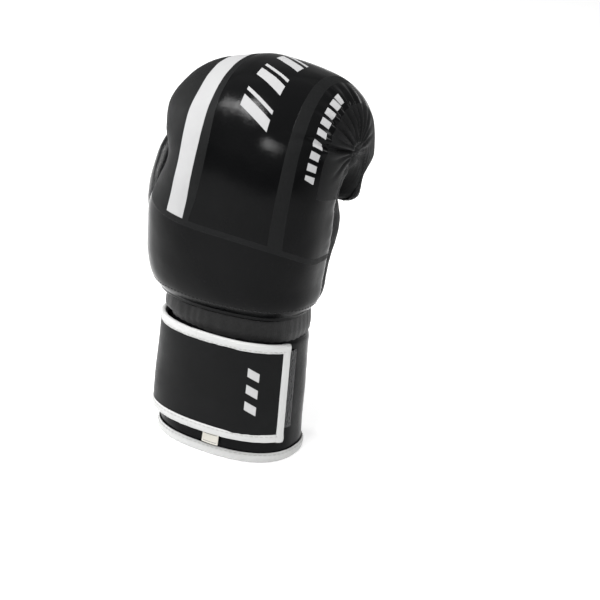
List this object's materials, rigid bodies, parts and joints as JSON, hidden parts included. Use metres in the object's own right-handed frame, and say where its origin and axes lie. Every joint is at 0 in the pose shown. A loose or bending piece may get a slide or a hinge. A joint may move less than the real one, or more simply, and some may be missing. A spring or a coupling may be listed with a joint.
{
  "type": "boxing glove",
  "caption": "Right-hand padded boxing glove with an attached thumb and a hook-and-loop wrist strap, standing upright on its cuff.",
  "frame": {"origin": "centre of the hand opening, in the plane of the hem's underside that the glove stands on", "axes": "+Z from the hand opening up to the knuckles; -Y faces the back of the hand and +Y the palm; -X is the thumb's side and +X the little finger's side"},
  "size_m": [0.1666, 0.1369, 0.2787],
  "materials": {
    "gloss_black": "gloss polyurethane synthetic leather",
    "matt_black": "matt synthetic leather and knitted fabric",
    "white_binding": "satin synthetic leather binding",
    "foam": "closed-cell foam",
    "lining": "woven polyester lining",
    "hook_and_loop": "hook-and-loop pile",
    "label_white": "woven satin label"
  },
  "bodies": {
    "cuff": {"cuff_shell": "gloss_black", "cuff_foam": "foam", "cuff_lining": "lining", "hem_binding": "white_binding", "slit_gusset": "matt_black", "loop_patch": "hook_and_loop", "strap_anchor": "gloss_black", "wrist_sleeve": "matt_black"},
    "fist": {"main_shell": "gloss_black", "palm_shell": "gloss_black", "fingertip_panel": "gloss_black", "back_pad": "foam", "knuckle_pad": "foam", "finger_pad": "foam", "palm_pad": "foam", "grip_bar": "foam", "hand_lining": "lining", "thumb_lock_tab": "matt_black"},
    "thumb": {"thumb_shell": "gloss_black", "thumb_foam": "foam", "thumb_lining": "lining"},
    "strap_palm_part": {"strap_palm": "gloss_black", "strap_palm_top_binding": "white_binding", "strap_palm_bottom_binding": "white_binding"},
    "strap_side_part": {"strap_side": "gloss_black", "strap_side_top_binding": "white_binding", "strap_side_bottom_binding": "white_binding"},
    "strap_tip_part": {"strap_tip": "gloss_black", "strap_tip_binding": "white_binding", "hook_patch": "hook_and_loop"},
    "label": {"size_label": "label_white"}
  },
  "joints": [
    {"name": "wrist_flex", "type": "hinge", "parent": "cuff", "child": "fist", "pos_m": [0, 0, 0.1], "axis": [1, 0, 0], "range_deg": [-12, 10], "deforming": ["wrist_sleeve"]},
    {"name": "thumb_flex", "type": "hinge", "parent": "fist", "child": "thumb", "pos_m": [-0.052, 0.012, 0.134], "axis": [0, -1, 0], "range_deg": [-1.5, 7], "deforming": ["thumb_lock_tab"]},
    {"name": "strap_seam_bend", "type": "hinge", "parent": "cuff", "child": "strap_palm_part", "pos_m": [0.02302, 0.03828, 0.055], "axis": [0, 0, -1], "range_deg": [0, 24]},
    {"name": "strap_fold_bend", "type": "hinge", "parent": "strap_palm_part", "child": "strap_side_part", "pos_m": [-0.04757, 0.02761, 0.055], "axis": [0, 0, -1], "range_deg": [0, 80]},
    {"name": "strap_tip_peel", "type": "hinge", "parent": "strap_side_part", "child": "strap_tip_part", "pos_m": [-0.04866, -0.03252, 0.055], "axis": [0, 0, -1], "range_deg": [0, 100]},
    {"name": "label_flip", "type": "hinge", "parent": "cuff", "child": "label", "pos_m": [0.007, -0.04194, 0.0174], "axis": [-1, 0, 0], "range_deg": [0, 60]}
  ],
  "couplings": [
    {"joint": "strap_seam_bend", "follows": "strap_fold_bend", "ratio": 0.3}
  ]
}
